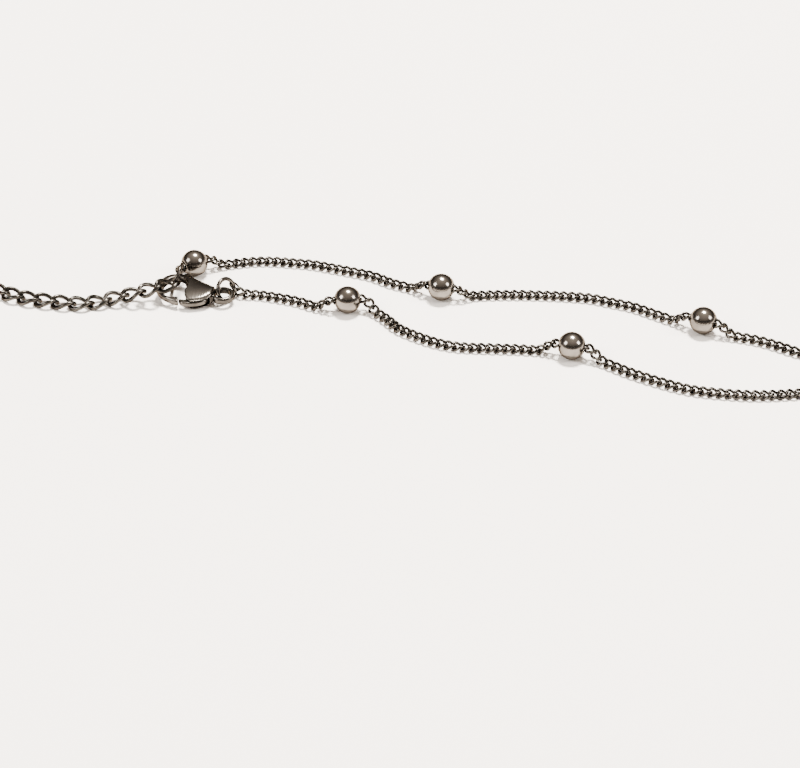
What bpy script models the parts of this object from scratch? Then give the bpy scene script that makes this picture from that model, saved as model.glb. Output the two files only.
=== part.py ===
"""A steel anklet of curb chain and balls, with a lobster clasp and an extension chain.

It lies on a flat surface. Units are metres. +X runs from the extension chain to the far end of the loop,
+Y across the loop, +Z up from the surface. The origin is at the middle of the bottom of the whole anklet.
"""

import math

import bmesh
import bpy
import numpy as np
from mathutils import Matrix, Vector

MM = 0.001
UP = np.array([0.0, 0.0, 1.0])

# Balls
BALL_DIAMETER = 4.0 * MM
BALL_SIDES = 16
BALL_ROWS = 11
BORE_CLEARANCE = 0.15 * MM

# Fine chain, as the round solid that its links lie in
CHAIN_DIAMETER = 1.3 * MM
CHAIN_STEP = 3.9 * MM
CHAIN_RISE = 1.5 * MM

# Extension chain
EXTENSION_LINKS = 12
EXTENSION_LENGTH = 4.05 * MM
EXTENSION_WIDTH = 3.0 * MM
EXTENSION_WIRE = 0.55 * MM
EXTENSION_PLAY = 0.3 * MM
LINK_TWIST = math.radians(-90)
LINK_SEGMENTS = 14

# Rings, and the fine chain's end links that they hold
JUMP_RING_DIAMETER = 3.8 * MM
JUMP_RING_WIRE = 0.5 * MM
END_RING_DIAMETER = 4.8 * MM
END_RING_WIRE = 0.5 * MM
RING_SEGMENTS = 16
RING_PLAY = 0.22 * MM
END_LINK_LENGTH = 2.0 * MM
END_LINK_WIDTH = 1.6 * MM
END_LINK_WIRE = 0.32 * MM
END_LINK_SEGMENTS = 12
END_PLAY = 0.22 * MM
JUMP_RING_RADIUS = (JUMP_RING_DIAMETER - JUMP_RING_WIRE) / 2
END_RING_RADIUS = (END_RING_DIAMETER - END_RING_WIRE) / 2

# Clasp
CLASP_LENGTH = 11.9 * MM
CLASP_WIDTH = 7.0 * MM
CLASP_THICKNESS = 2.2 * MM
CLASP_EDGE = 0.3 * MM
CHEEK_LIP = 0.03 * MM  # the cheeks stand this far outside the hook's own side
HOOK_BAR = 0.95 * MM
HOOK_THICKNESS = 1.1 * MM
HOOK_HOLE_LENGTH = 3.8 * MM
EYE_DIAMETER = 3.5 * MM
EYE_HOLE = 2.3 * MM
EYE_THICKNESS = 1.1 * MM
LEVER_THICKNESS = 0.8 * MM
LEVER_CLEARANCE = 0.18 * MM
LEVER_EDGE = 0.15 * MM
PIN_DIAMETER = 0.7 * MM
PIN_CLEARANCE = 0.12 * MM
PIN_INSET = 0.1 * MM

# Gap between solids that meet end to end
MEET_GAP = 0.3 * MM

# Where things lie on the surface: the hook's left end, and the headings in degrees of the clasp, the rings
# and their links. The clasp leans on the end ring, with its lever's side down
CLASP_PLACE = (-36.11 * MM, 6.43 * MM)
CLASP_HEADING = -7.5
CLASP_ROLL = 5.0
JUMP_RING_HEADING = 52.0
JUMP_RING_LEAN = 22.0
FRONT_LINK_HEADING = -20.0
END_RING_HEADING = 82.0
END_RING_LEAN = 70.0
BACK_LINK_HEADING = 88.0
BACK_LINK_SLOPE = -22.0
FIRST_EXTENSION_HEADING = 209.0
FIRST_EXTENSION_SLOPE = 14.0

# The clasp from above, from the hook's left end: shares of the clasp's length and of its width
CLASP_OUTLINE = (
    (0.000, 0.000),
    (0.007, 0.171),
    (0.034, 0.329),
    (0.080, 0.443),
    (0.151, 0.521),
    (0.252, 0.550),
    (0.353, 0.500),
    (0.454, 0.371),
    (0.529, 0.300),
    (0.605, 0.236),
    (0.689, 0.157),
    (0.739, 0.093),
    (0.739, -0.171),
    (0.714, -0.250),
    (0.664, -0.343),
    (0.588, -0.407),
    (0.496, -0.443),
    (0.412, -0.450),
    (0.319, -0.443),
    (0.227, -0.393),
    (0.134, -0.307),
    (0.063, -0.193),
    (0.017, -0.086),
)
LEVER_OUTLINE = (
    (0.365, -0.446),
    (0.412, -0.474),
    (0.504, -0.464),
    (0.588, -0.421),
    (0.655, -0.343),
    (0.689, -0.221),
    (0.668, -0.129),
    (0.622, -0.093),
    (0.571, -0.129),
    (0.538, -0.214),
    (0.462, -0.300),
    (0.395, -0.336),
    (0.338, -0.336),
)
FORK_OUTLINE = (
    (0.346, -1.000),
    (0.339, -0.450),
    (0.314, -0.321),
    (0.313, -0.064),
    (0.689, -0.064),
    (0.710, -0.143),
    (0.710, -0.243),
    (0.739, -0.343),
    (0.739, -1.000),
)
HOOK_SIDE = (
    (-0.084, -1.000),
    (0.492, -1.000),
    (0.273, 1.000),
    (-0.084, 1.000),
)
EYE_ACROSS = -0.050
PIVOT = (0.618, -0.207)
END_RING_PLACE = (0.231, 0.321)

# The fine chain's line from above, in millimetres, from the jump ring to the end ring, with the heading of
# the bore in degrees where the line passes through a ball
CHAIN_ROUTE = (
    (-21.00, 6.10, None),
    (-18.00, 5.30, None),
    (-15.00, 4.20, None),
    (-12.20, 2.70, None),
    (-7.68, 2.40, 4),
    (-3.20, 0.70, None),
    (-1.74, -1.10, None),
    (-0.29, -3.20, None),
    (2.59, -5.50, None),
    (5.44, -7.18, None),
    (8.28, -8.13, None),
    (12.60, -8.50, None),
    (16.80, -8.74, None),
    (20.00, -9.10, None),
    (24.34, -10.08, -16),
    (29.30, -12.60, None),
    (32.20, -14.80, None),
    (36.00, -17.10, None),
    (40.00, -19.05, None),
    (44.00, -20.00, None),
    (49.00, -20.55, None),
    (54.50, -20.20, None),
    (60.00, -18.80, 22),
    (64.60, -16.20, None),
    (65.60, -13.40, None),
    (63.20, -11.60, None),
    (59.60, -11.00, None),
    (56.60, -9.60, None),
    (53.20, -7.40, None),
    (50.50, -6.10, None),
    (47.70, -5.20, None),
    (43.73, -3.34, 153),
    (39.50, -0.90, None),
    (36.82, 0.94, None),
    (34.06, 2.77, None),
    (31.20, 3.95, None),
    (28.35, 5.08, None),
    (25.40, 5.62, None),
    (21.00, 6.00, None),
    (16.00, 6.16, None),
    (11.20, 5.90, None),
    (6.09, 5.99, 163),
    (1.80, 8.00, None),
    (-1.19, 9.42, None),
    (-4.20, 11.54, None),
    (-7.22, 12.77, None),
    (-10.26, 13.89, None),
    (-13.30, 14.93, None),
    (-16.36, 15.44, None),
    (-19.40, 15.88, None),
    (-22.40, 15.80, None),
    (-26.00, 15.00, None),
    (-30.87, 12.95, 212),
)
# The balls in the order of the route: 1 is nearest the hook, along the back of the loop
BALL_ORDER = (3, 4, 6, 5, 2, 1)

# The extension chain's line in millimetres, past its first link, with its height
EXTENSION_ROUTE = (
    (-36.40, 4.75, 2.50),
    (-38.80, 4.45, 1.90),
    (-41.10, 4.55, 1.25),
    (-43.40, 4.25, 0.84),
    (-45.30, 3.60, 0.76),
    (-48.00, 3.40, 0.76),
    (-50.80, 3.90, 0.76),
    (-53.30, 4.40, 0.76),
    (-56.10, 5.20, 0.76),
    (-59.30, 6.80, 0.76),
    (-61.80, 8.00, 0.76),
    (-66.00, 9.50, 0.76),
)


def unit(vector):
    return vector / np.linalg.norm(vector)


def level_way(degrees):
    """The level direction of this heading, counted from +X towards +Y."""
    return np.array([math.cos(math.radians(degrees)), math.sin(math.radians(degrees)), 0.0])


def eased(share):
    share = np.clip(share, 0, 1)
    return share * share * (3 - 2 * share)


def hermite(start, end, start_way, end_way, steps):
    """Points from start up to end, leaving along start_way and arriving along end_way."""
    reach = np.linalg.norm(end - start)
    t = np.linspace(0, 1, steps, endpoint=False)[:, None]
    return (
        start * (2 * t**3 - 3 * t**2 + 1)
        + end * (3 * t**2 - 2 * t**3)
        + start_way * reach * (t**3 - 2 * t**2 + t)
        + end_way * reach * (t**3 - t**2)
    )


def smooth_line(points, first_way=None, last_way=None, steps=12):
    """A smooth line through the points, with its ways at the two ends where they are given."""
    ways = [unit(after - before) for before, after in zip(points, points[2:])]
    first = unit(points[1] - points[0]) if first_way is None else first_way
    last = unit(points[-1] - points[-2]) if last_way is None else last_way
    ways = [first, *ways, last]
    pairs = range(len(points) - 1)
    runs = [hermite(points[i], points[i + 1], ways[i], ways[i + 1], steps) for i in pairs]
    return np.vstack([*runs, points[-1]])


def smooth_outline(shares, steps=3):
    """A smooth closed outline through points that are shares of the clasp's length and width."""
    points = [np.array(point) for point in sized(shares)]
    count = len(points)
    ways = [unit(points[(i + 1) % count] - points[i - 1]) for i in range(count)]
    runs = []
    for i in range(count):
        j = (i + 1) % count
        runs.append(hermite(points[i], points[j], ways[i], ways[j], steps))
    return np.vstack(runs)


def sized(shares):
    return [(along * CLASP_LENGTH, across * CLASP_WIDTH) for along, across in shares]


def circle_points(centre, width, height, sides):
    turns = [2 * math.pi * i / sides for i in range(sides)]
    return [(centre[0] + width / 2 * math.cos(t), centre[1] + height / 2 * math.sin(t)) for t in turns]


def distances(line):
    """How far along the line each of its points lies."""
    return np.concatenate([[0], np.cumsum(np.linalg.norm(np.diff(line, axis=0), axis=1))])


def points_along(line, places):
    run = distances(line)
    return np.stack([np.interp(places, run, axis) for axis in line.T], axis=1)


def frame_at(place, x_axis, z_axis):
    """The matrix of a thing at place whose X is x_axis, and whose Z is as near z_axis as that allows."""
    x = Vector(x_axis).normalized()
    y = Vector(z_axis).cross(x).normalized()
    turn = Matrix((x, y, x.cross(y))).transposed().to_4x4()
    return Matrix.Translation(Vector(place)) @ turn


def clear_scene():
    for obj in list(bpy.data.objects):
        bpy.data.objects.remove(obj)


def new_collection(name):
    collection = bpy.data.collections.new(name)
    bpy.context.scene.collection.children.link(collection)
    return collection


def steel(name, colour, roughness):
    material = bpy.data.materials.new(name)
    material.use_nodes = True
    shader = material.node_tree.nodes["Principled BSDF"]
    shader.inputs["Base Color"].default_value = (*colour, 1)
    shader.inputs["Metallic"].default_value = 1
    shader.inputs["Roughness"].default_value = roughness
    return material


def add_object(name, data, collection, parent=None, matrix=None, colour=(0.42, 0.40, 0.38), roughness=0.15):
    """The object of this data, with its own steel and its parent."""
    obj = bpy.data.objects.new(name, data)
    collection.objects.link(obj)
    obj.parent = parent
    if matrix is not None:
        obj.matrix_basis = matrix
    if not data.materials:
        data.materials.append(steel(f"{name}_steel", colour, roughness))
    return obj


def poly_curve(name, points, dimensions, closed):
    curve = bpy.data.curves.new(name, "CURVE")
    curve.dimensions = dimensions
    spline = curve.splines.new("POLY")
    spline.points.add(len(points) - 1)
    for target, point in zip(spline.points, points):
        target.co = (*point, 1) if len(point) == 3 else (*point, 0, 1)
    spline.use_cyclic_u = closed
    return curve


def closed_wire(name, points, diameter):
    """A ring of wire through the points, with six sides."""
    curve = poly_curve(name, points, "3D", True)
    curve.bevel_depth = diameter / 2
    curve.bevel_resolution = 1
    return curve


def tube(name, points, diameter):
    """An open round tube through the points, with eight sides and filled ends."""
    curve = poly_curve(name, points, "3D", False)
    curve.bevel_depth = diameter / 2
    curve.bevel_resolution = 2
    curve.use_fill_caps = True
    return curve


def plate_curve(name, outline, thickness, edge):
    """A plate of this outline, centred on its own Z = 0, with its edges rounded."""
    curve = poly_curve(name, outline, "2D", True)
    curve.fill_mode = "BOTH"
    curve.extrude = thickness / 2 - edge
    curve.bevel_depth = edge
    curve.offset = -edge
    curve.bevel_resolution = 1
    return curve


def oval_points(length, width, wire, twist, segments):
    """The middle line of an oval link's wire, with its two ends rolled about X by twist between them."""
    points = []
    for i in range(segments):
        turn = 2 * math.pi * i / segments
        across = (width - wire) / 2 * math.sin(turn)
        roll = twist / 2 * math.cos(turn)
        points.append(
            ((length - wire) / 2 * math.cos(turn), across * math.cos(roll), across * math.sin(roll))
        )
    return points


def mesh_object(name, curve, collection, **place):
    """The curve's solid as a mesh object, with its caps joined to its sides."""
    guide = add_object(f"{name}_guide", curve, collection)
    graph = bpy.context.evaluated_depsgraph_get()
    mesh = bpy.data.meshes.new_from_object(guide.evaluated_get(graph))
    bpy.data.objects.remove(guide)
    bm = bmesh.new()
    bm.from_mesh(mesh)
    bmesh.ops.remove_doubles(bm, verts=bm.verts, dist=0.001 * MM)
    bmesh.ops.recalc_face_normals(bm, faces=bm.faces)
    bm.to_mesh(mesh)
    bm.free()
    mesh.name = name
    mesh.materials.clear()
    obj = add_object(name, mesh, collection, **place)
    mesh.set_sharp_from_angle(angle=math.radians(40))
    return obj


def boolean(obj, other, operation):
    modifier = obj.modifiers.new(f"{operation.lower()} {other.name}", "BOOLEAN")
    modifier.operation = operation
    modifier.solver = "EXACT"
    modifier.object = other
    other.hide_render = True
    other.display_type = "WIRE"


def drill(name, centre, width, height, depth, collection, parent):
    """An upright oval cutter."""
    curve = plate_curve(name, circle_points(centre, width, height, 24), depth, 0)
    return mesh_object(name, curve, collection, parent=parent)


def eye_centre():
    return (CLASP_LENGTH - EYE_DIAMETER / 2, EYE_ACROSS * CLASP_WIDTH)


def hook_hole_width():
    across = [across for _, across in CLASP_OUTLINE]
    return (max(across) - min(across)) * CLASP_WIDTH - 2 * HOOK_BAR


def hook_hole_centre():
    across = [across for _, across in CLASP_OUTLINE]
    return (HOOK_BAR + HOOK_HOLE_LENGTH / 2, (max(across) + min(across)) / 2 * CLASP_WIDTH)


def add_clasp_body(parts, cutters, clasp):
    """The drop-shaped body with its hook, its fork for the lever and its eye."""
    mid_height = Matrix.Translation((0, 0, CLASP_THICKNESS / 2))
    outline = smooth_outline(CLASP_OUTLINE)
    hook = plate_curve("hook_plate", outline, HOOK_THICKNESS, CLASP_EDGE)
    body = mesh_object("clasp_body", hook, parts, parent=clasp, matrix=mid_height)
    cheeks_plate = plate_curve("cheeks_plate", outline, CLASP_THICKNESS, CLASP_EDGE)
    cheeks_plate.offset += CHEEK_LIP
    cheeks = mesh_object("cheeks", cheeks_plate, cutters, parent=clasp, matrix=mid_height)
    side_cutter = mesh_object(
        "hook_side", plate_curve("hook_side_plate", sized(HOOK_SIDE), 2 * CLASP_THICKNESS, 0), cutters,
        parent=clasp, matrix=mid_height,
    )
    boolean(cheeks, side_cutter, "DIFFERENCE")
    eye_outline = circle_points(eye_centre(), EYE_DIAMETER, EYE_DIAMETER, 24)
    eye = mesh_object(
        "eye", plate_curve("eye_plate", eye_outline, EYE_THICKNESS, CLASP_EDGE), cutters, parent=clasp,
        matrix=mid_height,
    )
    fork = mesh_object(
        "fork", plate_curve("fork_plate", sized(FORK_OUTLINE), LEVER_THICKNESS + 2 * LEVER_CLEARANCE, 0),
        cutters, parent=clasp, matrix=mid_height,
    )
    deep = 4 * CLASP_THICKNESS
    hook_hole = drill(
        "hook_hole", hook_hole_centre(), HOOK_HOLE_LENGTH, hook_hole_width(), deep, cutters, clasp
    )
    eye_hole = drill("eye_hole", eye_centre(), EYE_HOLE, EYE_HOLE, deep, cutters, clasp)
    pin_bore = PIN_DIAMETER + 2 * PIN_CLEARANCE
    pin_hole = drill("pin_hole", sized([PIVOT])[0], pin_bore, pin_bore, deep, cutters, clasp)
    boolean(body, cheeks, "UNION")
    boolean(body, eye, "UNION")
    for cutter in (fork, hook_hole, eye_hole, pin_hole):
        boolean(body, cutter, "DIFFERENCE")


def add_lever(parts, cutters, clasp):
    """The lever, with its own origin on the pin's axis."""
    pivot = np.array(sized([PIVOT])[0])
    outline = smooth_outline(LEVER_OUTLINE) - pivot
    curve = plate_curve("lever_plate", outline, LEVER_THICKNESS, LEVER_EDGE)
    axis = Matrix.Translation((*pivot, CLASP_THICKNESS / 2))
    lever = mesh_object("clasp_lever", curve, parts, parent=clasp, matrix=axis, roughness=0.2)
    bore = PIN_DIAMETER + 2 * PIN_CLEARANCE
    hole = drill("lever_hole", pivot, bore, bore, 4 * CLASP_THICKNESS, cutters, clasp)
    boolean(lever, hole, "DIFFERENCE")


def add_pin(parts, clasp):
    x, y = sized([PIVOT])[0]
    length = CLASP_THICKNESS - 2 * PIN_INSET
    bpy.ops.mesh.primitive_cylinder_add(vertices=16, radius=PIN_DIAMETER / 2, depth=length)
    made = bpy.context.object
    mesh = made.data
    bpy.data.objects.remove(made)
    mesh.name = "clasp_pin"
    add_object("clasp_pin", mesh, parts, clasp, Matrix.Translation((x, y, CLASP_THICKNESS / 2)))


def clasp_matrix():
    """The clasp's place, turned to its heading and rolled onto the rounded edge of its lever's side."""
    roll = math.radians(CLASP_ROLL)
    low_side = min(across for _, across in CLASP_OUTLINE) * CLASP_WIDTH + CLASP_EDGE
    lift = -low_side * math.sin(roll) + CLASP_EDGE * (1 - math.cos(roll))
    heading = Matrix.Rotation(math.radians(CLASP_HEADING), 4, "Z")
    return Matrix.Translation((*CLASP_PLACE, lift)) @ heading @ Matrix.Rotation(roll, 4, "X")


def on_surface(place):
    """A place in the clasp's own frame, as a point of the surface frame."""
    return np.array(clasp_matrix() @ Vector(place))


def jump_ring_axes():
    """The jump ring's level axis, towards the fine chain, and its rising axis."""
    lean = math.radians(JUMP_RING_LEAN)
    side = level_way(JUMP_RING_HEADING + 90)
    return level_way(JUMP_RING_HEADING), math.cos(lean) * UP + math.sin(lean) * side


def jump_ring_centre():
    """The ring stands in the eye, its inner side held off the eye's edge by the play between them."""
    level, rising = jump_ring_axes()
    eye = on_surface((*eye_centre(), CLASP_THICKNESS / 2))
    height = JUMP_RING_WIRE / 2 + JUMP_RING_RADIUS * rising[2]
    above_eye = (height - eye[2] - EYE_THICKNESS / 2) / rising[2]
    half_chord = math.sqrt(JUMP_RING_RADIUS**2 - above_eye**2)
    held = (EYE_HOLE - JUMP_RING_WIRE) / 2 - RING_PLAY
    return eye + (half_chord - held) * level + rising * (height - eye[2]) / rising[2]


def end_ring_axes():
    """The leaning ring's level axis, towards the last ball, and its rising axis."""
    level = level_way(END_RING_HEADING)
    side = level_way(END_RING_HEADING - 90)
    lean = math.radians(END_RING_LEAN)
    return level, side * math.cos(lean) + UP * math.sin(lean)


def end_ring_centre():
    x, y = sized([END_RING_PLACE])[0]
    height = END_RING_WIRE / 2 + END_RING_RADIUS * math.sin(math.radians(END_RING_LEAN))
    return np.array([*on_surface((x, y, 0))[:2], height])


def add_ring(name, radius, wire, centre, level, rising, collection, anklet):
    circle = circle_points((0, 0), 2 * radius, 2 * radius, RING_SEGMENTS)
    curve = closed_wire(name, [(x, y, 0) for x, y in circle], wire)
    add_object(name, curve, collection, anklet, frame_at(centre, level, np.cross(level, rising)))


def sloping_way(degrees, slope):
    """The direction of this heading that rises at this slope, both in degrees."""
    return level_way(degrees) * math.cos(math.radians(slope)) + UP * math.sin(math.radians(slope))


def link_on_ring(hold, ring_wire, axis, length, wire):
    """The centre and axis of a link that holds the ring's wire at its inner end."""
    reach = length / 2 - wire - ring_wire / 2 - END_PLAY
    return hold + reach * axis, axis


def front_link():
    hold = jump_ring_centre() + JUMP_RING_RADIUS * level_way(JUMP_RING_HEADING)
    return link_on_ring(hold, JUMP_RING_WIRE, level_way(FRONT_LINK_HEADING), END_LINK_LENGTH, END_LINK_WIRE)


def back_link():
    hold = end_ring_centre() + END_RING_RADIUS * level_way(END_RING_HEADING)
    axis = sloping_way(BACK_LINK_HEADING, BACK_LINK_SLOPE)
    return link_on_ring(hold, END_RING_WIRE, axis, END_LINK_LENGTH, END_LINK_WIRE)


def add_end_link(name, centre, axis, normal, collection, anklet):
    points = oval_points(END_LINK_LENGTH, END_LINK_WIDTH, END_LINK_WIRE, 0, END_LINK_SEGMENTS)
    curve = closed_wire(name, points, END_LINK_WIRE)
    add_object(name, curve, collection, anklet, frame_at(centre, axis, normal))


def chain_end(link):
    """Where the fine chain's solid meets an end link: the gap past its outer end."""
    centre, axis = link
    return centre + (END_LINK_LENGTH / 2 + MEET_GAP) * axis


def chain_line():
    """The fine chain's middle line from above, and how far along it the middle of each ball lies."""
    half_bore = BALL_DIAMETER / 2 + BORE_CLEARANCE
    balls = iter(BALL_ORDER)
    middles = {}
    pieces = []
    span = [chain_end(front_link())[:2]]
    way = level_way(FRONT_LINK_HEADING)[:2]
    for x, y, degrees in CHAIN_ROUTE:
        place = np.array([x, y]) * MM
        if degrees is None:
            span.append(place)
            continue
        bore = level_way(degrees)[:2]
        pieces.append(smooth_line([*span, place - half_bore * bore], way, bore))
        middles[next(balls)] = distances(np.vstack(pieces))[-1] + half_bore
        span = [place + half_bore * bore]
        way = bore
    last = place + (BALL_DIAMETER / 2 - MEET_GAP) * bore
    return np.vstack([*pieces, last]), middles


def chain_points(line, middles):
    """The solid's points: close together where the chain rises, farther apart where it lies flat."""
    half_bore = BALL_DIAMETER / 2 + BORE_CLEARANCE
    length = distances(line)[-1]
    ends = [0.0]
    for middle in sorted(middles.values()):
        ends += [middle - half_bore, middle + half_bore]
    places = []
    for start, end in zip(ends[::2], ends[1::2]):
        falls = [start, start + CHAIN_RISE / 2, start + CHAIN_RISE]
        rises = [end - CHAIN_RISE, end - CHAIN_RISE / 2, end]
        count = max(1, round((rises[0] - falls[-1]) / CHAIN_STEP))
        places += [*falls, *np.linspace(falls[-1], rises[0], count + 1)[1:-1], *rises]
    places.append(length)
    rest = CHAIN_DIAMETER / 2
    lifts = [(middle, BALL_DIAMETER / 2, BALL_DIAMETER / 2) for middle in middles.values()]
    lifts.append((0.0, 0.0, chain_end(front_link())[2]))
    heights = []
    for place in places:
        height = rest
        for middle, flat, top in lifts:
            past = abs(place - middle) - flat
            height = max(height, rest + (top - rest) * (1 - eased(past / CHAIN_RISE)))
        heights.append(height)
    return np.column_stack([points_along(line, places), heights])


def add_balls(line, middles, collection, anklet):
    """The drilled balls, each turned about its bore."""
    radius = BALL_DIAMETER / 2
    bore = CHAIN_DIAMETER / 2 + BORE_CLEARANCE
    mouth = math.asin(bore / radius)
    turns = np.linspace(mouth, math.pi - mouth, BALL_ROWS)
    profile = [(radius * math.sin(turn), 0, radius * math.cos(turn)) for turn in turns]
    for number, middle in sorted(middles.items()):
        name = f"bead_{number}"
        mesh = bpy.data.meshes.new(name)
        edges = [(i, (i + 1) % BALL_ROWS) for i in range(BALL_ROWS)]
        mesh.from_pydata(profile, edges, [])
        before, after = points_along(line, [middle - radius / 2, middle + radius / 2])
        centre = (*(before + after) / 2, radius)
        turned = frame_at(centre, UP, (*(after - before), 0))
        ball = add_object(name, mesh, collection, anklet, turned, roughness=0.06)
        screw = ball.modifiers.new("turned", "SCREW")
        screw.steps = screw.render_steps = BALL_SIDES
        screw.use_merge_vertices = True
        screw.merge_threshold = 0.001 * MM
        screw.use_smooth_shade = True


def first_extension_link():
    hold = end_ring_centre() - END_RING_RADIUS * level_way(END_RING_HEADING)
    axis = sloping_way(FIRST_EXTENSION_HEADING, FIRST_EXTENSION_SLOPE)
    return link_on_ring(hold, END_RING_WIRE, axis, EXTENSION_LENGTH, EXTENSION_WIRE)


def add_extension(collection, anklet):
    """The curb links, a pitch apart along their line."""
    points = oval_points(EXTENSION_LENGTH, EXTENSION_WIDTH, EXTENSION_WIRE, LINK_TWIST, LINK_SEGMENTS)
    pitch = EXTENSION_LENGTH - 2 * EXTENSION_WIRE - EXTENSION_PLAY
    centre, axis = first_extension_link()
    route = [centre, *(np.array(point) * MM for point in EXTENSION_ROUTE)]
    line = smooth_line(route, axis)
    for i in range(EXTENSION_LINKS):
        before, place, after = points_along(line, [max(0, (i - 0.5) * pitch), i * pitch, (i + 0.5) * pitch])
        way = unit(after - before)
        name = f"extension_link_{i + 1:02d}"
        curve = closed_wire(name, points, EXTENSION_WIRE)
        add_object(name, curve, collection, anklet, frame_at(place, way, UP), roughness=0.2)


def centre_on_origin(anklet, collection):
    """Moves the whole anklet, so that the origin is at the middle of its bottom."""
    bpy.context.view_layer.update()
    graph = bpy.context.evaluated_depsgraph_get()
    corners = []
    for obj in collection.objects:
        if obj.type == "EMPTY":
            continue
        evaluated = obj.evaluated_get(graph)
        mesh = evaluated.to_mesh()
        corners += [evaluated.matrix_world @ vertex.co for vertex in mesh.vertices]
        evaluated.to_mesh_clear()
    corners = np.array(corners)
    low, high = corners.min(axis=0), corners.max(axis=0)
    anklet.location = (-(low[0] + high[0]) / 2, -(low[1] + high[1]) / 2, -low[2])
    bpy.context.view_layer.update()


def empty(name, collection, parent=None):
    obj = bpy.data.objects.new(name, None)
    collection.objects.link(obj)
    obj.parent = parent
    return obj


def main():
    clear_scene()
    parts = new_collection("anklet")
    cutters = new_collection("cutters")
    anklet = empty("anklet_origin", parts)
    clasp = empty("clasp_origin", parts, anklet)
    clasp.matrix_basis = clasp_matrix()
    add_clasp_body(parts, cutters, clasp)
    add_lever(parts, cutters, clasp)
    add_pin(parts, clasp)
    add_ring(
        "jump_ring", JUMP_RING_RADIUS, JUMP_RING_WIRE, jump_ring_centre(), *jump_ring_axes(), parts, anklet
    )
    level, rising = end_ring_axes()
    add_ring("end_ring", END_RING_RADIUS, END_RING_WIRE, end_ring_centre(), level, rising, parts, anklet)
    add_end_link("front_end_link", *front_link(), UP, parts, anklet)
    add_end_link("back_end_link", *back_link(), rising, parts, anklet)
    line, middles = chain_line()
    chain = tube("fine_chain", chain_points(line, middles), CHAIN_DIAMETER)
    add_object("fine_chain", chain, parts, anklet, roughness=0.3)
    add_balls(line, middles, parts, anklet)
    add_extension(parts, anklet)
    centre_on_origin(anklet, parts)


main()
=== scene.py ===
"""The looks of a steel anklet that lies on a pale surface.

Shapes are worked out in millimetres, in the frame of the chains' routes. mesh_piece and seat move them
into the model's frame, in metres. The sizes and routes are those of the part's own source.
"""

import math

import bmesh
import bpy
import numpy as np
from mathutils import Matrix, Vector


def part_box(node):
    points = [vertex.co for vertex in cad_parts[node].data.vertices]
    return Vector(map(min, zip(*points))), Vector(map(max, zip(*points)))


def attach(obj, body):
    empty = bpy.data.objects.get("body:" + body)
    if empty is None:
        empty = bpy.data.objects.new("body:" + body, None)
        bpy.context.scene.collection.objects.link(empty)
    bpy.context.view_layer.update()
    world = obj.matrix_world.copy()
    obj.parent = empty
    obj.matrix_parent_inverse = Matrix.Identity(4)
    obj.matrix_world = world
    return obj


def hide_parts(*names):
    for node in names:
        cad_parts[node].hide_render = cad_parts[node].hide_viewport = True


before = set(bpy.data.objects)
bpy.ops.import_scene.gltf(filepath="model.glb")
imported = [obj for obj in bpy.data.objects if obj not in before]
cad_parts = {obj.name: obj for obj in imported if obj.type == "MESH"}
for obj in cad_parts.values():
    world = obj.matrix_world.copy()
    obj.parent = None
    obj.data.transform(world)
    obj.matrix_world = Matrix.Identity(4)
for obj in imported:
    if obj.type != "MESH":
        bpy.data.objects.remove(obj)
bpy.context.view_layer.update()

UP = np.array([0.0, 0.0, 1.0])

# Balls
BALL_DIAMETER = 4.0
BORE_CLEARANCE = 0.15

# Fine chain, as the round solid that its links lie in
CHAIN_DIAMETER = 1.3
CHAIN_RISE = 1.5

# Extension chain
EXTENSION_LINKS = 12
EXTENSION_LENGTH = 4.05
EXTENSION_WIDTH = 3.0
EXTENSION_WIRE = 0.55
EXTENSION_PLAY = 0.3
LINK_TWIST = math.radians(-90)

# Rings, and the fine chain's end links that they hold
JUMP_RING_DIAMETER = 3.8
JUMP_RING_WIRE = 0.5
END_RING_DIAMETER = 4.8
END_RING_WIRE = 0.5
RING_PLAY = 0.22
END_LINK_LENGTH = 2.0
END_LINK_WIDTH = 1.6
END_LINK_WIRE = 0.32
END_PLAY = 0.22
JUMP_RING_RADIUS = (JUMP_RING_DIAMETER - JUMP_RING_WIRE) / 2
END_RING_RADIUS = (END_RING_DIAMETER - END_RING_WIRE) / 2

# Clasp
CLASP_LENGTH = 11.9
CLASP_WIDTH = 7.0
CLASP_THICKNESS = 2.2
CLASP_EDGE = 0.3
HOOK_BAR = 0.95
HOOK_THICKNESS = 1.1
HOOK_HOLE_LENGTH = 3.8
EYE_DIAMETER = 3.5
EYE_HOLE = 2.3
EYE_THICKNESS = 1.1
LEVER_THICKNESS = 0.8
LEVER_CLEARANCE = 0.18

# Gap between solids that meet end to end
MEET_GAP = 0.3

# Where things lie on the surface: the hook's left end, and the headings in degrees of the clasp, the rings
# and their links. The clasp leans on the end ring, with its lever's side down
CLASP_PLACE = (-36.11, 6.43)
CLASP_HEADING = -7.5
CLASP_ROLL = 5.0
JUMP_RING_HEADING = 52.0
JUMP_RING_LEAN = 22.0
FRONT_LINK_HEADING = -20.0
END_RING_HEADING = 82.0
END_RING_LEAN = 70.0
BACK_LINK_HEADING = 88.0
BACK_LINK_SLOPE = -22.0
FIRST_EXTENSION_HEADING = 209.0
FIRST_EXTENSION_SLOPE = 14.0

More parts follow.
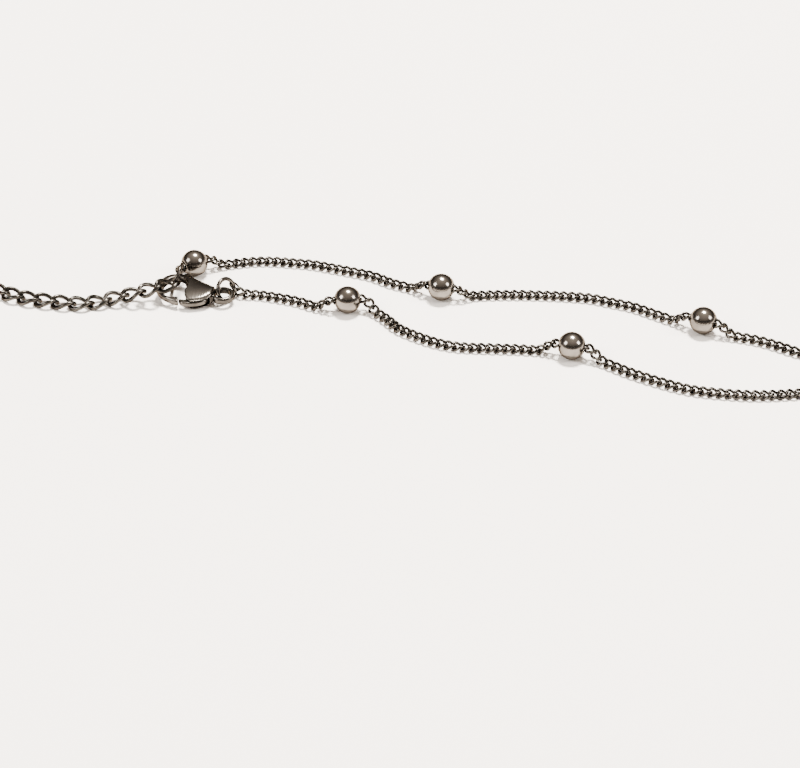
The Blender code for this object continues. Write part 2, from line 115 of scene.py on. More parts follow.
# The clasp from above, from the hook's left end: shares of the clasp's length and of its width
CLASP_OUTLINE = (
    (0.000, 0.000),
    (0.007, 0.171),
    (0.034, 0.329),
    (0.080, 0.443),
    (0.151, 0.521),
    (0.252, 0.550),
    (0.353, 0.500),
    (0.454, 0.371),
    (0.529, 0.300),
    (0.605, 0.236),
    (0.689, 0.157),
    (0.739, 0.093),
    (0.739, -0.171),
    (0.714, -0.250),
    (0.664, -0.343),
    (0.588, -0.407),
    (0.496, -0.443),
    (0.412, -0.450),
    (0.319, -0.443),
    (0.227, -0.393),
    (0.134, -0.307),
    (0.063, -0.193),
    (0.017, -0.086),
)
LEVER_OUTLINE = (
    (0.365, -0.446),
    (0.412, -0.474),
    (0.504, -0.464),
    (0.588, -0.421),
    (0.655, -0.343),
    (0.689, -0.221),
    (0.668, -0.129),
    (0.622, -0.093),
    (0.571, -0.129),
    (0.538, -0.214),
    (0.462, -0.300),
    (0.395, -0.336),
    (0.338, -0.336),
)
FORK_OUTLINE = (
    (0.346, -1.000),
    (0.339, -0.450),
    (0.314, -0.321),
    (0.313, -0.064),
    (0.689, -0.064),
    (0.710, -0.143),
    (0.710, -0.243),
    (0.739, -0.343),
    (0.739, -1.000),
)
EYE_ACROSS = -0.050
END_RING_PLACE = (0.231, 0.321)

# The fine chain's line from above, in millimetres, from the jump ring to the end ring, with the heading of
# the bore in degrees where the line passes through a ball
CHAIN_ROUTE = (
    (-21.00, 6.10, None),
    (-18.00, 5.30, None),
    (-15.00, 4.20, None),
    (-12.20, 2.70, None),
    (-7.68, 2.40, 4),
    (-3.20, 0.70, None),
    (-1.74, -1.10, None),
    (-0.29, -3.20, None),
    (2.59, -5.50, None),
    (5.44, -7.18, None),
    (8.28, -8.13, None),
    (12.60, -8.50, None),
    (16.80, -8.74, None),
    (20.00, -9.10, None),
    (24.34, -10.08, -16),
    (29.30, -12.60, None),
    (32.20, -14.80, None),
    (36.00, -17.10, None),
    (40.00, -19.05, None),
    (44.00, -20.00, None),
    (49.00, -20.55, None),
    (54.50, -20.20, None),
    (60.00, -18.80, 22),
    (64.60, -16.20, None),
    (65.60, -13.40, None),
    (63.20, -11.60, None),
    (59.60, -11.00, None),
    (56.60, -9.60, None),
    (53.20, -7.40, None),
    (50.50, -6.10, None),
    (47.70, -5.20, None),
    (43.73, -3.34, 153),
    (39.50, -0.90, None),
    (36.82, 0.94, None),
    (34.06, 2.77, None),
    (31.20, 3.95, None),
    (28.35, 5.08, None),
    (25.40, 5.62, None),
    (21.00, 6.00, None),
    (16.00, 6.16, None),
    (11.20, 5.90, None),
    (6.09, 5.99, 163),
    (1.80, 8.00, None),
    (-1.19, 9.42, None),
    (-4.20, 11.54, None),
    (-7.22, 12.77, None),
    (-10.26, 13.89, None),
    (-13.30, 14.93, None),
    (-16.36, 15.44, None),
    (-19.40, 15.88, None),
    (-22.40, 15.80, None),
    (-26.00, 15.00, None),
    (-30.87, 12.95, 212),
)
# The balls in the order of the route: 1 is nearest the hook, along the back of the loop
BALL_ORDER = (3, 4, 6, 5, 2, 1)

# The extension chain's line in millimetres, past its first link, with its height
EXTENSION_ROUTE = (
    (-36.40, 4.75, 2.50),
    (-38.80, 4.45, 1.90),
    (-41.10, 4.55, 1.25),
    (-43.40, 4.25, 0.84),
    (-45.30, 3.60, 0.76),
    (-48.00, 3.40, 0.76),
    (-50.80, 3.90, 0.76),
    (-53.30, 4.40, 0.76),
    (-56.10, 5.20, 0.76),
    (-59.30, 6.80, 0.76),
    (-61.80, 8.00, 0.76),
    (-66.00, 9.50, 0.76),
)


def unit(vector):
    return vector / np.linalg.norm(vector)


def level_way(degrees):
    """The level direction of this heading, counted from +X towards +Y."""
    return np.array([math.cos(math.radians(degrees)), math.sin(math.radians(degrees)), 0.0])


def eased(share):
    share = np.clip(share, 0, 1)
    return share * share * (3 - 2 * share)


def hermite(start, end, start_way, end_way, steps):
    """Points from start up to end, leaving along start_way and arriving along end_way."""
    reach = np.linalg.norm(end - start)
    t = np.linspace(0, 1, steps, endpoint=False)[:, None]
    return (
        start * (2 * t**3 - 3 * t**2 + 1)
        + end * (3 * t**2 - 2 * t**3)
        + start_way * reach * (t**3 - 2 * t**2 + t)
        + end_way * reach * (t**3 - t**2)
    )


def smooth_line(points, first_way=None, last_way=None, steps=12):
    """A smooth line through the points, with its ways at the two ends where they are given."""
    ways = [unit(after - before) for before, after in zip(points, points[2:])]
    first = unit(points[1] - points[0]) if first_way is None else first_way
    last = unit(points[-1] - points[-2]) if last_way is None else last_way
    ways = [first, *ways, last]
    pairs = range(len(points) - 1)
    runs = [hermite(points[i], points[i + 1], ways[i], ways[i + 1], steps) for i in pairs]
    return np.vstack([*runs, points[-1]])


def smooth_outline(shares, steps=3):
    """A smooth closed outline through points that are shares of the clasp's length and width."""
    points = [np.array(point) for point in sized(shares)]
    count = len(points)
    ways = [unit(points[(i + 1) % count] - points[i - 1]) for i in range(count)]
    runs = []
    for i in range(count):
        j = (i + 1) % count
        runs.append(hermite(points[i], points[j], ways[i], ways[j], steps))
    return np.vstack(runs)


def sized(shares):
    return [(along * CLASP_LENGTH, across * CLASP_WIDTH) for along, across in shares]


def circle_points(centre, width, height, sides):
    turns = [2 * math.pi * i / sides for i in range(sides)]
    return [(centre[0] + width / 2 * math.cos(t), centre[1] + height / 2 * math.sin(t)) for t in turns]


def distances(line):
    """How far along the line each of its points lies."""
    return np.concatenate([[0], np.cumsum(np.linalg.norm(np.diff(line, axis=0), axis=1))])


def points_along(line, places):
    run = distances(line)
    return np.stack([np.interp(places, run, axis) for axis in line.T], axis=1)


def frame_at(place, x_axis, z_axis):
    """The matrix of a thing at place whose X is x_axis, and whose Z is as near z_axis as that allows."""
    x = Vector(x_axis).normalized()
    y = Vector(z_axis).cross(x).normalized()
    turn = Matrix((x, y, x.cross(y))).transposed().to_4x4()
    return Matrix.Translation(Vector(place)) @ turn


def oval_points(length, width, wire, twist, segments):
    """The middle line of an oval link's wire, with its two ends rolled about X by twist between them."""
    points = []
    for i in range(segments):
        turn = 2 * math.pi * i / segments
        across = (width - wire) / 2 * math.sin(turn)
        roll = twist / 2 * math.cos(turn)
        points.append(
            ((length - wire) / 2 * math.cos(turn), across * math.cos(roll), across * math.sin(roll))
        )
    return points


def eye_centre():
    return (CLASP_LENGTH - EYE_DIAMETER / 2, EYE_ACROSS * CLASP_WIDTH)


def hook_hole_width():
    across = [across for _, across in CLASP_OUTLINE]
    return (max(across) - min(across)) * CLASP_WIDTH - 2 * HOOK_BAR


def hook_hole_centre():
    across = [across for _, across in CLASP_OUTLINE]
    return (HOOK_BAR + HOOK_HOLE_LENGTH / 2, (max(across) + min(across)) / 2 * CLASP_WIDTH)


def clasp_matrix():
    """The clasp's place, turned to its heading and rolled onto the rounded edge of its lever's side."""
    roll = math.radians(CLASP_ROLL)
    low_side = min(across for _, across in CLASP_OUTLINE) * CLASP_WIDTH + CLASP_EDGE
    lift = -low_side * math.sin(roll) + CLASP_EDGE * (1 - math.cos(roll))
    heading = Matrix.Rotation(math.radians(CLASP_HEADING), 4, "Z")
    return Matrix.Translation((*CLASP_PLACE, lift)) @ heading @ Matrix.Rotation(roll, 4, "X")


def on_surface(place):
    """A place in the clasp's own frame, as a point of the surface frame."""
    return np.array(clasp_matrix() @ Vector(place))


def jump_ring_axes():
    """The jump ring's level axis, towards the fine chain, and its rising axis."""
    lean = math.radians(JUMP_RING_LEAN)
    side = level_way(JUMP_RING_HEADING + 90)
    return level_way(JUMP_RING_HEADING), math.cos(lean) * UP + math.sin(lean) * side


def jump_ring_centre():
    """The ring stands in the eye, its inner side held off the eye's edge by the play between them."""
    level, rising = jump_ring_axes()
    eye = on_surface((*eye_centre(), CLASP_THICKNESS / 2))
    height = JUMP_RING_WIRE / 2 + JUMP_RING_RADIUS * rising[2]
    above_eye = (height - eye[2] - EYE_THICKNESS / 2) / rising[2]
    half_chord = math.sqrt(JUMP_RING_RADIUS**2 - above_eye**2)
    held = (EYE_HOLE - JUMP_RING_WIRE) / 2 - RING_PLAY
    return eye + (half_chord - held) * level + rising * (height - eye[2]) / rising[2]


def end_ring_axes():
    """The leaning ring's level axis, towards the last ball, and its rising axis."""
    level = level_way(END_RING_HEADING)
    side = level_way(END_RING_HEADING - 90)
    lean = math.radians(END_RING_LEAN)
    return level, side * math.cos(lean) + UP * math.sin(lean)


def end_ring_centre():
    x, y = sized([END_RING_PLACE])[0]
    height = END_RING_WIRE / 2 + END_RING_RADIUS * math.sin(math.radians(END_RING_LEAN))
    return np.array([*on_surface((x, y, 0))[:2], height])


def sloping_way(degrees, slope):
    """The direction of this heading that rises at this slope, both in degrees."""
    return level_way(degrees) * math.cos(math.radians(slope)) + UP * math.sin(math.radians(slope))


def link_on_ring(hold, ring_wire, axis, length, wire):
    """The centre and axis of a link that holds the ring's wire at its inner end."""
    reach = length / 2 - wire - ring_wire / 2 - END_PLAY
    return hold + reach * axis, axis


def front_link():
    hold = jump_ring_centre() + JUMP_RING_RADIUS * level_way(JUMP_RING_HEADING)
    axis = sloping_way(FRONT_LINK_HEADING, FRONT_LINK_SLOPE)
    return link_on_ring(hold, JUMP_RING_WIRE, axis, END_LINK_LENGTH, END_LINK_WIRE)


def back_link():
    hold = end_ring_centre() + END_RING_RADIUS * level_way(END_RING_HEADING)
    axis = sloping_way(BACK_LINK_HEADING, BACK_LINK_SLOPE)
    return link_on_ring(hold, END_RING_WIRE, axis, END_LINK_LENGTH, END_LINK_WIRE)


def chain_end(link):
    """Where the fine chain's solid meets an end link: the gap past its outer end."""
    centre, axis = link
    return centre + (END_LINK_LENGTH / 2 + MEET_GAP) * axis


def chain_line():
    """The fine chain's middle line from above, and how far along it the middle of each ball lies."""
    half_bore = BALL_DIAMETER / 2 + BORE_CLEARANCE
    balls = iter(BALL_ORDER)
    middles = {}
    pieces = []
    span = [chain_end(front_link())[:2]]
    way = level_way(FRONT_LINK_HEADING)[:2]
    for x, y, degrees in CHAIN_ROUTE:
        place = np.array([x, y])
        if degrees is None:
            span.append(place)
            continue
        bore = level_way(degrees)[:2]
        pieces.append(smooth_line([*span, place - half_bore * bore], way, bore))
        middles[next(balls)] = distances(np.vstack(pieces))[-1] + half_bore
        span = [place + half_bore * bore]
        way = bore
    last = place + (BALL_DIAMETER / 2 - MEET_GAP) * bore
    return np.vstack([*pieces, last]), middles


def first_extension_link():
    hold = end_ring_centre() - END_RING_RADIUS * level_way(END_RING_HEADING)
    axis = sloping_way(FIRST_EXTENSION_HEADING, FIRST_EXTENSION_SLOPE)
    return link_on_ring(hold, END_RING_WIRE, axis, EXTENSION_LENGTH, EXTENSION_WIRE)


# Round wires, a little thicker than the solids' six-sided ones, with the points around each loop and the
# sides around its wire. The front end link slopes down to the chain
JUMP_WIRE = 0.6
END_WIRE = 0.56
RING_POINTS = 64
RING_SIDES = 14
END_LINK_POINTS = 36
END_LINK_SIDES = 10
THICKER_WIRE = 0.62
EXTENSION_POINTS = 56
EXTENSION_SIDES = 12
FRONT_LINK_SLOPE = -38.0

# The fine chain's links. The rise is how far from a ball the chain leaves the surface, and the lift is the
# share of a link's half width by which its middle lies above half its wire
FINE_LENGTH = 2.12
FINE_WIDTH = 1.85
FINE_WIRE = 0.43
FINE_PITCH = 1.21
FINE_RISE = 3.0
FINE_LIFT = 0.55
FINE_TWIST = math.radians(-105)
FINE_POINTS = 26
FINE_SIDES = 8
FINE_STEP = 0.1
LAST_LINK_REACH = 0.35

# The balls: rows from mouth to mouth, sides around, and the softened lip of the bore
BALL_ROWS = 45
BALL_SIDES = 64
BALL_LIP = 0.12

# The clasp's rounded edges, the voxels and smoothings of its cast look, and the cheeks' border, in the
# clasp's own frame
HOOK_EDGE = 0.4
EYE_EDGE = 0.4
CHEEK_EDGE = 0.55
LEVER_EDGE = 0.22
BODY_VOXEL = 0.07
BODY_SMOOTHINGS = 9
LEVER_VOXEL = 0.06
LEVER_SMOOTHINGS = 4
OUTLINE_STEPS = 6
CHEEK_CUT = (
    (-1.00, -7.00),
    (6.60, -7.00),
    (6.45, -3.50),
    (5.70, -3.02),
    (5.12, -2.50),
    (4.75, -1.80),
    (4.60, -0.90),
    (4.40, 0.40),
    (4.10, 1.80),
    (3.75, 3.20),
    (3.25, 7.00),
    (-1.00, 7.00),
)

# The cheeks' dome: its depth at their sides, the height from which it counts and over which it grows, the
# shares of the clasp's length where it ends and where the outline is last measured, the length over which
# it fades, and the half width and the number of the strips that measure the outline
CROWN_DEPTH = 0.4
CROWN_START = 0.6
CROWN_RISE = 0.4
CROWN_END = 0.76
CROWN_MEASURED = 0.745
CROWN_FADE = 0.8
CROWN_STRIP = 0.35
CROWN_PLACES = 80

# The photo's camera, in the frame of the routes, with its pitch below level in degrees and its lens
CAMERA_PLACE = (0.0, -279.856, 174.873)
CAMERA_PITCH = 33.6217
CAMERA_LENS = 101.72
SENSOR_WIDTH = 36

# From the routes' frame to the model's: bead_2 lies at its place in CHAIN_ROUTE
BEAD_2_PLACE = (6.09, 5.99)
low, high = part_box("bead_2")
SHIFT = np.array([*((low[i] + high[i]) / 2 * 1000 - BEAD_2_PLACE[i] for i in range(2)), 0.0])


def grid_faces(rows, columns):
    """Faces of a grid of points that is closed both ways."""
    faces = []
    for i in range(rows):
        j = (i + 1) % rows
        for k in range(columns):
            m = (k + 1) % columns
            faces.append((i * columns + k, i * columns + m, j * columns + m, j * columns + k))
    return np.array(faces)


def closed_tube(middle, radius, sides):
    """A closed tube's points and faces. Its first side faces away from the middle line's own centre."""
    middle = np.array(middle, float)
    ahead = np.roll(middle, -1, axis=0) - np.roll(middle, 1, axis=0)
    ahead /= np.linalg.norm(ahead, axis=1, keepdims=True)
    out = middle - middle.mean(axis=0)
    out -= (out * ahead).sum(axis=1, keepdims=True) * ahead
    out /= np.linalg.norm(out, axis=1, keepdims=True)
    side = np.cross(ahead, out)
    turns = 2 * math.pi * np.arange(sides) / sides
    points = (
        middle[:, None]
        + radius * np.cos(turns)[None, :, None] * out[:, None]
        + radius * np.sin(turns)[None, :, None] * side[:, None]
    )
    return points.reshape(-1, 3), grid_faces(len(middle), sides)


def placed(points, matrix):
    m = np.array(matrix)
    return points @ m[:3, :3].T + m[:3, 3]


def mesh_piece(name, parts, material):
    """One smooth object of these (points, faces) parts, moved into the model's frame and into metres."""
    points, faces, start = [], [], 0
    for some_points, some_faces in parts:
        points.append(some_points)
        faces.append(np.asarray(some_faces) + start)
        start += len(some_points)
    points = (np.vstack(points) + SHIFT) * 0.001
    faces = np.vstack(faces)
    mesh = bpy.data.meshes.new(name)
    mesh.vertices.add(len(points))
    mesh.vertices.foreach_set("co", points.astype(np.float32).ravel())
    mesh.loops.add(faces.size)
    mesh.loops.foreach_set("vertex_index", faces.astype(np.int32).ravel())
    mesh.polygons.add(len(faces))
    mesh.polygons.foreach_set("loop_start", np.arange(0, faces.size, faces.shape[1], dtype=np.int32))
    mesh.polygons.foreach_set("use_smooth", np.full(len(faces), True))
    mesh.update(calc_edges=True)
    mesh.validate()
    return finished(name, mesh, material, "anklet")


def finished(name, mesh, material, body):
    """The mesh as an object that rides this body."""
    obj = bpy.data.objects.new(name, mesh)
    bpy.context.scene.collection.objects.link(obj)
    mesh.materials.clear()
    mesh.materials.append(material)
    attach(obj, body)
    return obj


# Steel
def steel(name, colour, dark, roughness, scale, scratches):
    """Polished steel with cloudy darker patches, uneven gloss and fine scratches."""
    material = bpy.data.materials.new(name)
    material.use_nodes = True
    nodes, links = material.node_tree.nodes, material.node_tree.links
    shader = nodes["Principled BSDF"]
    shader.inputs["Metallic"].default_value = 1.0
    shader.inputs["Specular Tint"].default_value = (0.5, 0.46, 0.42, 1)
    place = nodes.new("ShaderNodeTexCoord")
    cloud = nodes.new("ShaderNodeTexNoise")
    cloud.inputs["Scale"].default_value = scale
    cloud.inputs["Detail"].default_value = 5
    links.new(place.outputs["Object"], cloud.inputs["Vector"])
    tint = nodes.new("ShaderNodeMix")
    tint.data_type = "RGBA"
    tint.inputs["A"].default_value = (*dark, 1)
    tint.inputs["B"].default_value = (*colour, 1)
    spread = nodes.new("ShaderNodeMapRange")
    spread.inputs["From Min"].default_value = 0.35
    spread.inputs["From Max"].default_value = 0.62
    links.new(cloud.outputs["Fac"], spread.inputs["Value"])
    links.new(spread.outputs["Result"], tint.inputs["Factor"])
    links.new(tint.outputs["Result"], shader.inputs["Base Color"])
    gloss = nodes.new("ShaderNodeMapRange")
    gloss.inputs["To Min"].default_value = roughness * 1.5
    gloss.inputs["To Max"].default_value = roughness * 0.7
    links.new(cloud.outputs["Fac"], gloss.inputs["Value"])
    links.new(gloss.outputs["Result"], shader.inputs["Roughness"])
    fine = nodes.new("ShaderNodeTexNoise")
    fine.inputs["Scale"].default_value = scale * 14
    fine.inputs["Detail"].default_value = 4
    stretch = nodes.new("ShaderNodeMapping")
    stretch.inputs["Scale"].default_value = (1, 0.25, 1)
    links.new(place.outputs["Object"], stretch.inputs["Vector"])
    links.new(stretch.outputs["Vector"], fine.inputs["Vector"])
    bump = nodes.new("ShaderNodeBump")
    bump.inputs["Strength"].default_value = scratches
    bump.inputs["Distance"].default_value = 0.00002
    links.new(fine.outputs["Fac"], bump.inputs["Height"])
    links.new(bump.outputs["Normal"], shader.inputs["Normal"])
    return material


ball_steel = steel("ball_steel", (0.19, 0.17, 0.15), (0.12, 0.107, 0.094), 0.15, 500, 0.08)
clasp_steel = steel("clasp_steel", (0.09, 0.081, 0.072), (0.045, 0.0405, 0.036), 0.22, 420, 0.05)
ring_steel = steel("ring_steel", (0.095, 0.085, 0.075), (0.04, 0.0355, 0.0315), 0.19, 600, 0.15)
chain_steel = steel("chain_steel", (0.07, 0.064, 0.057), (0.024, 0.022, 0.0195), 0.2, 700, 0.15)


# The fine chain: curb links along the solid's middle line
def loop_path():
    """The fine chain's middle line in space. It rises to each ball's bore and at the chain's two ends."""
    line, middles = chain_line()
    half_bore = BALL_DIAMETER / 2 + BORE_CLEARANCE
    length = distances(line)[-1]
    places = np.linspace(0, length, int(length / FINE_STEP))
    rest = FINE_WIRE / 2 + (FINE_WIDTH - FINE_WIRE) / 2 * FINE_LIFT
    start = chain_end(front_link())[2]
    heights = rest + (start - rest) * (1 - eased(places / CHAIN_RISE))
    for middle in middles.values():
        past = (abs(places - middle) - half_bore) / FINE_RISE
        heights = np.maximum(heights, rest + (BALL_DIAMETER / 2 - rest) * (1 - eased(past)))
    path = np.column_stack([points_along(line, places), heights])
    centre, axis = back_link()
    last = centre + (END_LINK_LENGTH / 2 + LAST_LINK_REACH) * axis
    return np.vstack([path, last]), middles


def fine_chain():
    """Curb links a pitch apart along the path, from end link to end link."""
    path, middles = loop_path()
    run = distances(path)
    count = round(run[-1] / FINE_PITCH) + 1
    pitch = run[-1] / (count - 1)
    oval = oval_points(FINE_LENGTH, FINE_WIDTH, FINE_WIRE, FINE_TWIST, FINE_POINTS)
    link, faces = closed_tube(oval, FINE_WIRE / 2, FINE_SIDES)
    parts = []
    for i in range(count):
        places = [max(0, (i - 0.5) * pitch), i * pitch, min(run[-1], (i + 0.5) * pitch)]
        before, place, after = points_along(path, places)
        parts.append((placed(link, frame_at(place, after - before, UP)), faces))
    piece = mesh_piece("fine_curb_chain", parts, chain_steel)
    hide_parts("fine_chain")
    return middles


def balls(middles):
    """Smooth drilled balls, with the mouths of their bores softened."""
    line, _ = chain_line()
    radius, bore = BALL_DIAMETER / 2, CHAIN_DIAMETER / 2 + BORE_CLEARANCE
    mouth = math.asin((bore + BALL_LIP) / radius)
    turns = np.linspace(mouth, math.pi - mouth, BALL_ROWS)
    outer = [(radius * math.sin(turn), radius * math.cos(turn)) for turn in turns]
    depth = math.sqrt(radius**2 - bore**2) - BALL_LIP
    rounding = [(bore + BALL_LIP * 0.3, depth + BALL_LIP * 0.72), (bore, depth)]
    inner = [(bore, depth * share) for share in (0.6, 0.2, -0.2, -0.6)]
    profile = [*outer, *((r, -h) for r, h in rounding), *((r, -h) for r, h in inner), *reversed(rounding)]
    turns = 2 * math.pi * np.arange(BALL_SIDES) / BALL_SIDES
    rows = [[(r * math.cos(t), r * math.sin(t), h) for t in turns] for r, h in profile]
    points = np.array(rows).reshape(-1, 3)
    faces = grid_faces(len(profile), BALL_SIDES)[:, ::-1]
    for number, middle in sorted(middles.items()):
        before, after = points_along(line, [middle - radius / 2, middle + radius / 2])
        centre = (*(before + after) / 2, radius)
        matrix = frame_at(centre, UP, (*(after - before), 0))
        parts = [(placed(points, matrix), faces)]
        piece = mesh_piece(f"ball_{number}", parts, ball_steel)
        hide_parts(f"bead_{number}")


def rings():
    """The two rings and the chain's two end links, in round wire."""
    for node, radius, wire, centre, (level, rising) in (
        ("jump_ring", JUMP_RING_RADIUS, JUMP_WIRE, jump_ring_centre(), jump_ring_axes()),
        ("end_ring", END_RING_RADIUS, END_WIRE, end_ring_centre(), end_ring_axes()),
    ):
        circle = [(a, b, 0) for a, b in circle_points((0, 0), 2 * radius, 2 * radius, RING_POINTS)]
        points, faces = closed_tube(circle, wire / 2, RING_SIDES)
        points = placed(points, frame_at(centre, level, np.cross(level, rising)))
        piece = mesh_piece(f"round_{node}", [(points, faces)], ring_steel)
        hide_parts(node)
    for name, (centre, axis), normal, node in (
        ("round_front_link", front_link(), UP, "front_end_link"),
        ("round_back_link", back_link(), end_ring_axes()[1], "back_end_link"),
    ):
        oval = oval_points(END_LINK_LENGTH, END_LINK_WIDTH, END_LINK_WIRE, 0, END_LINK_POINTS)
        points, faces = closed_tube(oval, END_LINK_WIRE / 2, END_LINK_SIDES)
        piece = mesh_piece(name, [(placed(points, frame_at(centre, axis, normal)), faces)], ring_steel)
        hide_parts(node)


def extension():
    """The wider curb links, where the solids are."""
    oval = oval_points(EXTENSION_LENGTH, EXTENSION_WIDTH, EXTENSION_WIRE, LINK_TWIST, EXTENSION_POINTS)
    link, faces = closed_tube(oval, THICKER_WIRE / 2, EXTENSION_SIDES)
    pitch = EXTENSION_LENGTH - 2 * EXTENSION_WIRE - EXTENSION_PLAY
    centre, axis = first_extension_link()
    line = smooth_line([centre, *(np.array(point) for point in EXTENSION_ROUTE)], axis)
    parts = []
    for i in range(EXTENSION_LINKS):
        before, place, after = points_along(line, [max(0, (i - 0.5) * pitch), i * pitch, (i + 0.5) * pitch])
        parts.append((placed(link, frame_at(place, after - before, UP)), faces))
    piece = mesh_piece("extension_curb_chain", parts, chain_steel)
    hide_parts(*(f"extension_link_{i + 1:02d}" for i in range(EXTENSION_LINKS)))


# The clasp: the solids' outlines, cut as they are, then rounded over like a cast and polished piece
def scratch(name, data):
    obj = bpy.data.objects.new(name, data)
    bpy.context.scene.collection.objects.link(obj)
    return obj


def plate(name, outline, thickness, edge, steps=5):
    """A plate of this outline, centred on its own Z = 0, with its edges rounded."""
    curve = bpy.data.curves.new(name, "CURVE")
    curve.dimensions = "2D"
    spline = curve.splines.new("POLY")
    spline.points.add(len(outline) - 1)
    for target, point in zip(spline.points, outline):
        target.co = (*point, 0, 1)
    spline.use_cyclic_u = True
    curve.fill_mode = "BOTH"
    curve.extrude = thickness / 2 - edge
    curve.bevel_depth = edge
    curve.offset = -edge
    curve.bevel_resolution = steps
    guide = scratch(name, curve)
    mesh = bpy.data.meshes.new_from_object(guide.evaluated_get(bpy.context.evaluated_depsgraph_get()))
    bpy.data.objects.remove(guide)
    bm = bmesh.new()
    bm.from_mesh(mesh)
    bmesh.ops.remove_doubles(bm, verts=bm.verts, dist=0.001)
    bmesh.ops.recalc_face_normals(bm, faces=bm.faces)
    bm.to_mesh(mesh)
    bm.free()
    return scratch(name, mesh)


def modified(obj, kind, **settings):
    modifier = obj.modifiers.new(kind.lower(), kind)
    for key, value in settings.items():
        setattr(modifier, key, value)


def cast(obj, voxel, smoothing):
    """The object's evaluated mesh, remeshed evenly and smoothed."""
    modified(obj, "REMESH", mode="VOXEL", voxel_size=voxel, use_smooth_shade=True)
    modified(obj, "SMOOTH", factor=0.5, iterations=smoothing)
    return bpy.data.meshes.new_from_object(obj.evaluated_get(bpy.context.evaluated_depsgraph_get()))


def seat(mesh, matrix):
    """Moves a clasp's mesh from the clasp's own frame in millimetres to the model's frame in metres."""
    mesh.transform(Matrix.Scale(0.001, 4) @ Matrix.Translation(Vector(SHIFT)) @ matrix)
    mesh.update()


def clasp_body():
    """The hook, the cheeks and the eye in one piece, with the fork and the two holes cut."""
    through = 4 * CLASP_THICKNESS
    outline = smooth_outline(CLASP_OUTLINE, OUTLINE_STEPS)
    body = plate("hook", outline, HOOK_THICKNESS, HOOK_EDGE)
    cheeks = plate("cheeks", outline, CLASP_THICKNESS, CHEEK_EDGE)
    side = plate("side", CHEEK_CUT, through, 0)
    eye_outline = circle_points(eye_centre(), EYE_DIAMETER, EYE_DIAMETER, 64)
    eye = plate("eye", eye_outline, EYE_THICKNESS, EYE_EDGE)
    fork = plate("fork", sized(FORK_OUTLINE), LEVER_THICKNESS + 2 * LEVER_CLEARANCE, 0)
    oval = circle_points(hook_hole_centre(), HOOK_HOLE_LENGTH, hook_hole_width(), 72)
    hook_hole = plate("hook_hole", oval, through, 0)
    eye_hole = plate("eye_hole", circle_points(eye_centre(), EYE_HOLE, EYE_HOLE, 48), through, 0)
    modified(cheeks, "BOOLEAN", operation="DIFFERENCE", solver="EXACT", object=side)
    for other, operation in (
        (cheeks, "UNION"),
        (eye, "UNION"),
        (fork, "DIFFERENCE"),
        (hook_hole, "DIFFERENCE"),
        (eye_hole, "DIFFERENCE"),
    ):
        modified(body, "BOOLEAN", operation=operation, solver="EXACT", object=other)
    mesh = cast(body, BODY_VOXEL, BODY_SMOOTHINGS)
    crown(mesh)
    seat(mesh, clasp_matrix() @ Matrix.Translation((0, 0, CLASP_THICKNESS / 2)))
    for other in (body, cheeks, side, eye, fork, hook_hole, eye_hole):
        bpy.data.objects.remove(other)
    piece = finished("cast_clasp_body", mesh, clasp_steel, "anklet")
    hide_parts("clasp_body", "clasp_pin")


def crown(mesh):
    """Lowers the cheeks' outer faces towards their edges, so that they are slightly domed."""
    outline = smooth_outline(CLASP_OUTLINE, OUTLINE_STEPS)
    points = np.empty(len(mesh.vertices) * 3)
    mesh.vertices.foreach_get("co", points)
    points = points.reshape(-1, 3)
    along = np.linspace(0, CLASP_LENGTH * CROWN_MEASURED, CROWN_PLACES)
    far, near = [], []
    for place in along:
        here = outline[abs(outline[:, 0] - place) < CROWN_STRIP]
        far.append(here[:, 1].max())
        near.append(here[:, 1].min())
    far = np.interp(points[:, 0], along, far)
    near = np.interp(points[:, 0], along, near)
    off = np.clip(abs(points[:, 1] - (far + near) / 2) / ((far - near) / 2), 0, 1)
    outer = np.clip((abs(points[:, 2]) - CROWN_START) / CROWN_RISE, 0, 1)
    cheek = np.clip((CLASP_LENGTH * CROWN_END - points[:, 0]) / CROWN_FADE, 0, 1)
    points[:, 2] -= np.sign(points[:, 2]) * outer * cheek * CROWN_DEPTH * off**2
    mesh.vertices.foreach_set("co", points.ravel())
    mesh.update()


def clasp_lever():
    outline = smooth_outline(LEVER_OUTLINE, OUTLINE_STEPS)
    lever = plate("lever", outline, LEVER_THICKNESS, LEVER_EDGE, 4)
    mesh = cast(lever, LEVER_VOXEL, LEVER_SMOOTHINGS)
    seat(mesh, clasp_matrix() @ Matrix.Translation((0, 0, CLASP_THICKNESS / 2)))
    bpy.data.objects.remove(lever)
    piece = finished("polished_lever", mesh, clasp_steel, "lever")
    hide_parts("clasp_lever")


middles = fine_chain()
balls(middles)
rings()
extension()
clasp_body()
clasp_lever()


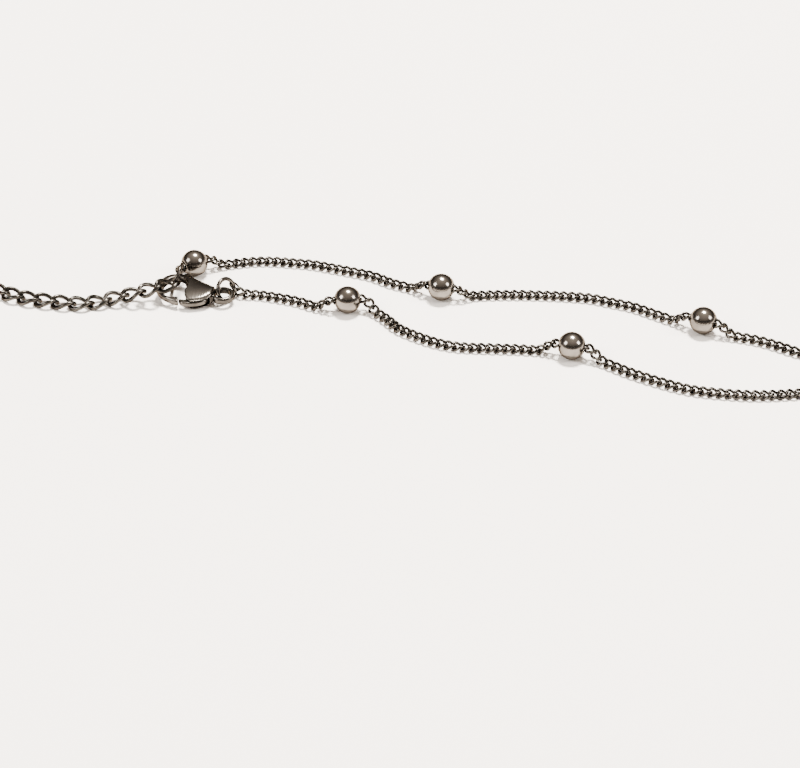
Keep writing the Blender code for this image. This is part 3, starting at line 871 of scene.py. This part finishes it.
# The surface, the light and the camera
def paper():
    """The pale paper, faintly mottled."""
    material = bpy.data.materials.new("paper")
    material.use_nodes = True
    nodes, links = material.node_tree.nodes, material.node_tree.links
    shader = nodes["Principled BSDF"]
    place = nodes.new("ShaderNodeTexCoord")
    cloud = nodes.new("ShaderNodeTexNoise")
    cloud.inputs["Scale"].default_value = 14
    cloud.inputs["Detail"].default_value = 3
    links.new(place.outputs["Object"], cloud.inputs["Vector"])
    tint = nodes.new("ShaderNodeMix")
    tint.data_type = "RGBA"
    tint.inputs["A"].default_value = (0.975, 0.92, 0.882, 1)
    tint.inputs["B"].default_value = (0.965, 0.93, 0.888, 1)
    links.new(cloud.outputs["Fac"], tint.inputs["Factor"])
    links.new(tint.outputs["Result"], shader.inputs["Base Color"])
    fibres = nodes.new("ShaderNodeTexNoise")
    fibres.inputs["Scale"].default_value = 1800
    links.new(place.outputs["Object"], fibres.inputs["Vector"])
    bump = nodes.new("ShaderNodeBump")
    bump.inputs["Strength"].default_value = 0.1
    bump.inputs["Distance"].default_value = 0.00003
    links.new(fibres.outputs["Fac"], bump.inputs["Height"])
    links.new(bump.outputs["Normal"], shader.inputs["Normal"])
    shader.inputs["Roughness"].default_value = 0.9
    shader.inputs["Specular IOR Level"].default_value = 0.1
    mesh = bpy.data.meshes.new("paper")
    half = 2.5
    corners = [(-half, -half, 0), (half, -half, 0), (half, half, 0), (-half, half, 0)]
    mesh.from_pydata(corners, [], [(0, 1, 2, 3)])
    mesh.materials.append(material)
    floor = bpy.data.objects.new("paper", mesh)
    bpy.context.scene.collection.objects.link(floor)


def area_light(name, place, size, power, colour):
    """A rectangular light that faces the anklet."""
    light = bpy.data.lights.new(name, "AREA")
    light.shape = "RECTANGLE"
    light.size, light.size_y = size
    light.energy = power
    light.color = colour
    obj = bpy.data.objects.new(name, light)
    bpy.context.scene.collection.objects.link(obj)
    obj.location = place
    obj.rotation_euler = (-Vector(place)).to_track_quat("-Z", "Y").to_euler()


def surroundings():
    """A dim warm room, darkest a little above level, so that the steel has something dark to mirror."""
    world = bpy.context.scene.world or bpy.data.worlds.new("room")
    bpy.context.scene.world = world
    world.use_nodes = True
    nodes, links = world.node_tree.nodes, world.node_tree.links
    back = nodes["Background"]
    place = nodes.new("ShaderNodeTexCoord")
    split = nodes.new("ShaderNodeSeparateXYZ")
    links.new(place.outputs["Generated"], split.inputs["Vector"])
    ramp = nodes.new("ShaderNodeValToRGB")
    ramp.color_ramp.elements[0].position = 0.0
    ramp.color_ramp.elements[0].color = (0.20, 0.18, 0.16, 1)
    ramp.color_ramp.elements[1].position = 1.0
    ramp.color_ramp.elements[1].color = (0.40, 0.355, 0.31, 1)
    mid = ramp.color_ramp.elements.new(0.35)
    mid.color = (0.02, 0.017, 0.014, 1)
    links.new(split.outputs["Z"], ramp.inputs["Fac"])
    links.new(ramp.outputs["Color"], back.inputs["Color"])
    back.inputs["Strength"].default_value = 3.4


paper()
surroundings()
area_light("left_window", (-0.78, -0.24, 0.57), (0.36, 0.36), 10, (1.0, 0.98, 0.95))
area_light("right_window", (0.78, -0.24, 0.57), (0.32, 0.32), 9, (1.0, 0.97, 0.93))
area_light("overhead", (0.12, 0.32, 1.2), (0.30, 0.22), 80, (1.0, 0.95, 0.88))

camera = bpy.data.cameras.new("camera")
camera.lens = CAMERA_LENS
camera.sensor_width = SENSOR_WIDTH
eye = bpy.data.objects.new("camera", camera)
bpy.context.scene.collection.objects.link(eye)
eye.location = (np.array(CAMERA_PLACE) + SHIFT) * 0.001
eye.rotation_euler = (math.radians(90 - CAMERA_PITCH), 0, 0)
camera.clip_start = 0.01
bpy.context.scene.camera = eye
